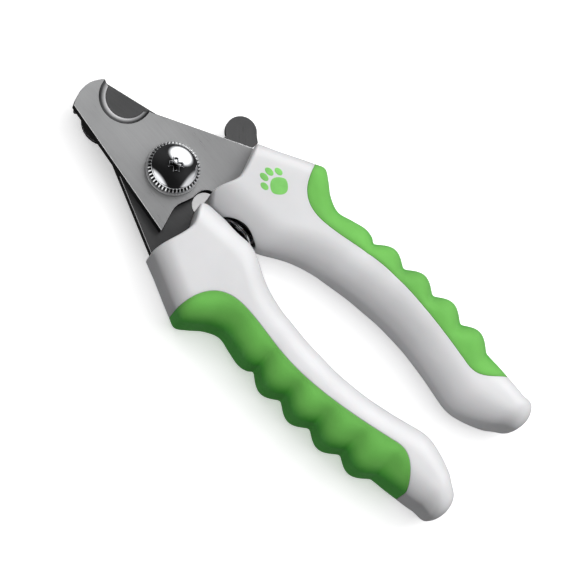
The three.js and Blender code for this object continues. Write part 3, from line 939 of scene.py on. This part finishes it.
class CLIPPER_OT_pivot_rings(bpy.types.Operator):
    """Make the washers, the sleeve, the disc spring and the nut's lock ring."""

    bl_idname = "clipper.pivot_rings"
    bl_label = "Pivot rings"

    def execute(self, context):
        steel = tuple(context.scene.clipper_colours.blade)
        washer = brushed_steel("washer_steel", scaled(steel, 1.5), 0.5)
        sleeve = polished_steel("sleeve_steel", scaled(steel, 2.0))
        nylon = plain_moulding("natural_nylon", (0.66, 0.62, 0.52), 0.5)
        rings = (
            ("front_washer", "front_washer_ring", "brushed_steel", washer, 4.2, 8.1, 0.0, 0.22),
            ("guard_washer", "guard_washer_ring", "nylon", nylon, 4.2, 6.8, 0.0, 0.1),
            ("pivot_sleeve", "pivot_sleeve_tube", "brushed_steel", sleeve, 3.05, 3.8, 0.0, 0.1),
            ("disc_spring", "disc_spring_cone", "brushed_steel", washer, 4.3, 6.2, 0.35, 0.1),
            ("nut_lock_ring", "nut_lock_insert", "nylon", nylon, 3.05, 4.3, 0.0, 0.1),
        )
        for node, name, slot, finish, bore, wide, cone, rounding in rings:
            low, high, _ = turned_size(node)
            points, faces = turned_ring([(bore, low + cone), (wide, low), (wide, high - cone),
                                         (bore, high)], rounding)
            body = "nut" if node == "nut_lock_ring" else "front_half"
            make_piece(name, points, faces, body, [finish], [node])
        return {"FINISHED"}


class CLIPPER_OT_nut(bpy.types.Operator):
    """Make the knurled tension nut, its polished dome and the slotted pivot bolt."""

    bl_idname = "clipper.nut"
    bl_label = "Nut, dome and bolt"

    def execute(self, context):
        self.knurled_nut(knurl_steel("knurl_chrome", (0.80, 0.81, 0.82)))
        self.dome(polished_steel("bright_chrome", (0.72, 0.73, 0.75), 0.02))
        self.bolt(polished_steel("bolt_steel", (0.46, 0.465, 0.475), 0.16))
        return {"FINISHED"}

    def knurled_nut(self, finish):
        """An eased ring profile. A tooth wave of the angle, a triangle with soft tips, draws
        its rim in and lowers the outer part of its top."""
        teeth, tooth_depth, tooth_drop, thread = 44, 0.6, 0.75, 3.05
        low, high, rim = turned_size("tension_nut")
        rim = rim + 0.15
        floor, bore = low + 0.8, rim - 1.0
        corners = [(thread, low), (rim - 0.35, low), (rim, low + 0.3), (rim, high - 0.75),
                   (rim - 0.75, high), (bore, high), (bore, floor), (thread, floor)]
        profile = eased(corners, 0.16, 6)
        profile = np.concatenate([profile, profile[:1]])
        columns = teeth * 12
        angle = np.linspace(0, 2 * np.pi, columns, endpoint=False)
        wave = smooth(np.sin(teeth * angle), -0.35, 0.35)
        out = smooth(profile[:, :1], bore - 0.12, bore + 0.02)
        side = smooth(profile[:, :1], rim - 0.9, rim - 0.3)
        upper = smooth(profile[:, 1:], floor + 0.2, high - 0.3)
        reach = profile[:, :1] - tooth_depth * wave * side
        height = profile[:, 1:] - tooth_drop * wave * out * upper
        points = np.stack([reach * np.cos(angle), reach * np.sin(angle), height], -1).reshape(-1, 3)
        # The groove attribute marks where the finish paints shade: the tooth gaps and the inside of
        # the bore.
        inner = 1 - smooth(profile[:, :1], bore - 0.04, bore + 0.04)
        groove = np.maximum(wave * out * np.maximum(upper, side), inner).reshape(-1)
        make_piece("tension_nut_knurled", points, wrapped_grid(len(profile), columns), "nut",
                   [finish], ["tension_nut"], attributes={"groove": groove}, sharp=0.8)

    def dome(self, finish):
        """A spherical cap over a short wall, hollow underneath, with a cross recess whose two
        bars are boxes with soft sides inside a low raised lip."""
        rise, rounding, hollow, spin = 2.5, 0.25, 4.45, 0.72
        low, _, wide = turned_size("nut_dome")
        wide = wide + 0.72
        rim, ceiling = low + 1.2, low + 1.7
        ball = (wide ** 2 + rise ** 2) / (2 * rise)
        reach = np.concatenate([np.linspace(0, 2.6, 52), np.linspace(2.65, wide - rounding, 34)])
        cap = rim + rise - ball + np.sqrt(ball ** 2 - reach ** 2)
        turn = np.linspace(0.1, 1.0, 6) * np.pi / 2
        shoulder_r = wide - rounding + rounding * np.sin(turn)
        shoulder_z = cap[-1] - rounding + rounding * np.cos(turn) - 0.1 * np.sin(turn)
        radii = np.concatenate([reach, shoulder_r, [wide, hollow, hollow, 0.0]])
        heights = np.concatenate([cap, shoulder_z, [low, low, ceiling, ceiling]])

        def bar(along, across, long, broad):
            """1 in a bar with soft sides that is centred on the axis, and 0 outside it."""
            return ((1 - smooth(np.abs(along), long, long + 0.14))
                    * (1 - smooth(np.abs(across), broad, broad + 0.12)))

        def cross(x, y, long, broad):
            """1 in two bars that cross on the axis, and 0 outside them."""
            return np.maximum(bar(x, y, long, broad), bar(y, x, long, broad))

        def recess(x, y, z):
            """The lip, raised over the larger cross, less the recess in the smaller one."""
            carved = 0.09 * cross(x, y, 2.14, 0.78) - 0.86 * cross(x, y, 1.86, 0.5)
            return z + np.where(z > rim + 0.6, carved, 0.0)

        points, faces = capped_turning(radii, heights, recess)
        turned = np.array([[np.cos(spin), np.sin(spin), 0], [-np.sin(spin), np.cos(spin), 0],
                           [0, 0, 1]])
        make_piece("nut_dome_cap", points @ turned, faces, "nut", [finish], ["nut_dome"])

    def bolt(self, finish):
        """A shaft under a broad low head with an eased rim and a straight driver slot."""
        flat, rounding, shaft, tip = 5.4, 1.2, 2.9, 2.75
        low, high, wide = turned_size("pivot_bolt")
        seat = low + 2.0
        reach = np.linspace(0, flat, 90)
        turn = np.linspace(0, 1, 9)[1:] * np.pi / 2
        radii = np.concatenate([reach, flat + rounding * np.sin(turn),
                                [wide, wide - 0.1, shaft, shaft, tip, 0.0]])
        heights = np.concatenate([low + 0 * reach, low + 0.9 * (1 - np.cos(turn)),
                                  [seat - 0.1, seat, seat, high - 0.2, high, high]])

        def slot(x, y, z):
            """A long bar with soft sides, pressed into the underside."""
            bar = (1 - smooth(np.abs(x), 4.3, 4.5)) * (1 - smooth(np.abs(y), 0.62, 0.74))
            return z + np.where(z < low + 0.5, 0.8 * bar, 0.0)

        points, faces = capped_turning(radii, heights, slot)
        make_piece("pivot_bolt_turned", points, faces, "front_half", [finish],
                   ["pivot_bolt"])


# ---- return spring ------------------------------------------------------------------


class CLIPPER_OT_spring(bpy.types.Operator):
    """Make the coil return spring and the two cups that hold its ends."""

    bl_idname = "clipper.spring"
    bl_label = "Return spring"

    def execute(self, context):
        low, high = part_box("return_spring")
        wire = 0.65
        self.coil(500.0 * (high.z - low.z) - wire, wire, 500.0 * (high.y - low.y) - wire)
        # The cups' near-black colour is partly painted shade in the spring pockets.
        black = plain_moulding("black_moulding", (0.016, 0.016, 0.017), 0.42)
        hub, bore, wide, mouth, seat, back = 0.02, 5.75, 6.35, 1.6, 7.85, 8.45
        points, faces = turned_ring([(hub, seat), (bore, seat), (bore, mouth), (wide, mouth),
                                     (wide, back), (hub, back)], 0.14)
        cup = points[:, [0, 2, 1]] + (SPRING_X, 0, 0)
        for side, body, over in SIDES:
            make_piece(f"{side}_cup", cup, faces, body, [black],
                       [f"{side}_spring_cup"], over)
        return {"FINISHED"}

    def coil(self, radius, wire, reach):
        """A round wire carried along a helix about Y, six and a half turns, whose end turns
        close up. The wire's frame is the outward direction and its cross product with the
        direction of travel."""
        turns, steps, columns = 6.5, 340, 14
        t = np.linspace(-1, 1, steps)
        angle = np.pi * turns * t
        climb = np.sign(t) * (1 - (1 - np.abs(t)) ** 1.12)
        outward = np.stack([np.cos(angle), 0 * angle, np.sin(angle)], -1)
        centre = np.stack([SPRING_X + radius * outward[:, 0], reach * climb,
                           radius * outward[:, 2]], -1)
        travel = np.gradient(centre, axis=0)
        travel /= np.linalg.norm(travel, axis=1, keepdims=True)
        across = np.cross(travel, outward)
        across /= np.linalg.norm(across, axis=1, keepdims=True)
        around = np.linspace(0, 2 * np.pi, columns, endpoint=False)[None, :, None]
        section = np.cos(around) * outward[:, None] + np.sin(around) * across[:, None]
        tube = np.concatenate([np.repeat(centre[:1, None], columns, 1),
                               centre[:, None] + wire * section,
                               np.repeat(centre[-1:, None], columns, 1)])
        bright = polished_steel("spring_wire_steel", (0.60, 0.605, 0.62), 0.16)
        spring = make_piece("return_coil", tube.reshape(-1, 3), wrapped_grid(len(tube), columns),
                            None, [bright], ["return_spring"])
        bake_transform(spring)


# ---- studio -------------------------------------------------------------------------

# Where the camera looks, in tool millimetres, its axes, its distance in metres and its lens.
CAMERA_TARGET, CAMERA_DISTANCE, CAMERA_LENS = (48.7, -0.9, -0.3), 0.9, 192.2
CAMERA_RIGHT, CAMERA_UP = (0.7278, 0.6445, 0.2346), (-0.6858, 0.6839, 0.2489)
CAMERA_BACK = (0.0, -0.3420, 0.9397)
# Each lamp's name, place, side and power.
LAMPS = (("key_light", (0.22, 0.62, 0.56), 0.75, 3.3), ("top_light", (0.05, 0.08, 1.0), 1.1, 6.6),
         ("rim_light", (-0.75, 0.35, 0.35), 0.35, 0.8))
# The sky's level from -Y to +Y, then the share of it that mirrored rays see.
SKY_STOPS = ((0.0, 0.14), (0.36, 0.26), (0.52, 0.50), (0.66, 0.68), (0.82, 0.66), (1.0, 0.5))
SKY_MIRRORED = 0.06
# A spot's direction, then how far from it, on a sphere of radius 1, it is full and gone.
SKY_DARK = ((-0.05, 0.30, 0.95), 0.12, 0.62)
SKY_DARK_LEVEL = 0.05
# The same for the glows, with each one's level at the end.
SKY_GLOWS = (((-0.16, 0.82, 0.55), 0.30, 0.62, 3.2), ((-0.20, -0.97, -0.04), 0.74, 0.92, 1.3),
             ((1.0, 0.20, -0.1), 0.58, 0.80, 0.9))


class Sky(Wiring):
    """The world's node tree being wired."""

    def __init__(self, name):
        self.world = bpy.data.worlds.new(name)
        self.world.use_nodes = True
        super().__init__(self.world.node_tree)
        self.shine = next(n for n in self.tree.nodes if n.type == "BACKGROUND")
        self.way = self.node("TexCoord", {}).outputs["Generated"]
        self.mirrored = self.node("LightPath", {}).outputs["Is Glossy Ray"]

    def spot(self, middle, full, gone, inside, outside):
        """A value that eases from inside, near a direction, to outside, far from it."""
        off = self.node("VectorMath", {0: self.way, 1: middle}, "DISTANCE").outputs["Value"]
        return self.spread(off, inside, outside, full, gone, "SMOOTHSTEP")

    def slope(self):
        """Grey that changes along Y by the stops."""
        along = self.node("SeparateXYZ", {"Vector": self.way}).outputs["Y"]
        ramp = self.node("ValToRGB", {"Fac": self.spread(along, 0.0, 1.0, -1.0, 1.0)})
        elements = ramp.color_ramp.elements
        while len(elements) < len(SKY_STOPS):
            elements.new(0.5)
        for element, (at, level) in zip(elements, SKY_STOPS):
            element.position = at
            element.color = (level, level, level * 1.01, 1.0)
        return ramp.outputs["Color"]


class CLIPPER_OT_studio(bpy.types.Operator):
    """Set up the pale floor, the soft light and the camera."""

    bl_idname = "clipper.studio"
    bl_label = "Studio"

    def execute(self, context):
        scene = context.scene
        scene.view_settings.view_transform = "Standard"
        scene.view_settings.look = "None"
        self.camera(scene)
        self.floor()
        self.sky(scene)
        for lamp in LAMPS:
            self.softbox(*lamp)
        return {"FINISHED"}

    def camera(self, scene):
        """A long lens that looks at the tool's middle from above and in front."""
        target = Vector(row_metres([CAMERA_TARGET])[0])
        lens = bpy.data.cameras.new("camera")
        lens.sensor_width = 36.0
        lens.lens = CAMERA_LENS
        lens.clip_start = 0.01
        camera = bpy.data.objects.new("camera", lens)
        scene.collection.objects.link(camera)
        turn = Matrix((CAMERA_RIGHT, CAMERA_UP, CAMERA_BACK)).transposed().to_4x4()
        place = Matrix.Translation(target + Vector(CAMERA_BACK) * CAMERA_DISTANCE)
        camera.matrix_world = place @ turn
        scene.camera = camera

    def floor(self):
        """A wide pale sheet with a faint glow of its own that curls up far away, its height a
        smooth step of the distance along Y. It is left out of bounced and mirrored light."""
        reach, curl, rows, columns = 2.2, 1.5, 40, 80
        u, v = np.meshgrid(np.linspace(-reach, reach, rows), np.linspace(-reach, reach, columns),
                           indexing="ij")
        z = 0.5 * smooth(np.abs(v), curl, reach) - 0.00002
        points = np.stack([u, v, z], -1).reshape(-1, 3)
        i, j = np.meshgrid(np.arange(rows - 1), np.arange(columns - 1), indexing="ij")
        first, second = i * columns + j, (i + 1) * columns + j
        quads = np.stack([first, second, second + 1, first + 1], -1)
        mesh = bpy.data.meshes.new("floor")
        mesh.from_pydata(points.tolist(), [], quads.reshape(-1, 4).tolist())
        mesh.polygons.foreach_set("use_smooth", np.ones(len(mesh.polygons), bool))
        f = Finish("paper_floor")
        f.colour(f.noise(6.0, 2.0), (0.90, 0.90, 0.90), (0.93, 0.93, 0.93), 0.0, 1.0)
        f.set(Roughness=0.9, Emission_Color=(1.0, 1.0, 1.0, 1.0), Emission_Strength=0.42)
        mesh.materials.append(f.material)
        floor = bpy.data.objects.new("floor", mesh)
        floor.visible_diffuse = False
        floor.visible_glossy = False
        bpy.context.scene.collection.objects.link(floor)

    def sky(self, scene):
        """Grey light that grows from behind the upper handle, with a dark patch overhead. Rays
        that shiny pieces mirror see it dimmed, with three soft glows added to it."""
        sky = Sky("studio_sky")
        scene.world = sky.world
        patch = sky.spot(*SKY_DARK, SKY_DARK_LEVEL, 1.0)
        quiet = sky.spread(sky.mirrored, 1.0, SKY_MIRRORED, 0.0, 1.0)
        level = sky.times(patch, quiet)
        dim = sky.node("VectorMath", {0: sky.slope(), "Scale": level}, "SCALE").outputs["Vector"]
        glows = [sky.spot(Vector(way).normalized(), full, gone, glow, 0.0)
                 for way, full, gone, glow in SKY_GLOWS]
        glow = sky.times(sky.plus(sky.plus(glows[0], glows[1]), glows[2]), sky.mirrored)
        total = sky.node("VectorMath", {0: dim, 1: glow}).outputs["Vector"]
        sky.tree.links.new(total, sky.shine.inputs["Color"])
        sky.shine.inputs["Strength"].default_value = 1.0

    def softbox(self, name, place, size, power):
        """A square lamp that lights the pieces. The sky's glows are what shiny pieces mirror."""
        light = bpy.data.lights.new(name, "AREA")
        light.shape = "SQUARE"
        light.size = size
        light.energy = power
        lamp = bpy.data.objects.new(name, light)
        lamp.location = place
        aim = Vector((0, 0, 0.01)) - Vector(place)
        lamp.rotation_euler = aim.to_track_quat("-Z", "Y").to_euler()
        lamp.visible_glossy = False
        bpy.context.scene.collection.objects.link(lamp)


class CLIPPER_PT_panel(bpy.types.Panel):
    """Lists the sizes, the colours and the pieces to make."""

    bl_idname = "CLIPPER_PT_panel"
    bl_label = "Scissor nail clipper"
    bl_space_type = "VIEW_3D"
    bl_region_type = "UI"
    bl_category = "Clipper"

    def draw(self, context):
        for group in (context.scene.clipper_sizes, context.scene.clipper_colours):
            box = self.layout.box()
            for label in group.__annotations__:
                box.prop(group, label)
        for operator in OPERATORS:
            self.layout.operator(operator.bl_idname)


OPERATORS = (CLIPPER_OT_handles, CLIPPER_OT_paw_mark, CLIPPER_OT_blades, CLIPPER_OT_guard,
             CLIPPER_OT_pivot_rings, CLIPPER_OT_nut, CLIPPER_OT_spring, CLIPPER_OT_studio)
CLASSES = (ClipperSizes, ClipperColours, *OPERATORS, CLIPPER_PT_panel)


def register():
    """Register the classes and hang their values on the scene."""
    for each in CLASSES:
        bpy.utils.register_class(each)
    bpy.types.Scene.clipper_sizes = PointerProperty(type=ClipperSizes)
    bpy.types.Scene.clipper_colours = PointerProperty(type=ClipperColours)


def unregister():
    """Take the values and the classes away again."""
    del bpy.types.Scene.clipper_colours
    del bpy.types.Scene.clipper_sizes
    for each in reversed(CLASSES):
        bpy.utils.unregister_class(each)


def main():
    """Make every piece and the studio."""
    register()
    bpy.ops.clipper.handles()
    bpy.ops.clipper.paw_mark()
    bpy.ops.clipper.blades()
    bpy.ops.clipper.guard()
    bpy.ops.clipper.pivot_rings()
    bpy.ops.clipper.nut()
    bpy.ops.clipper.spring()
    bpy.ops.clipper.studio()


if __name__ == "__main__":
    main()
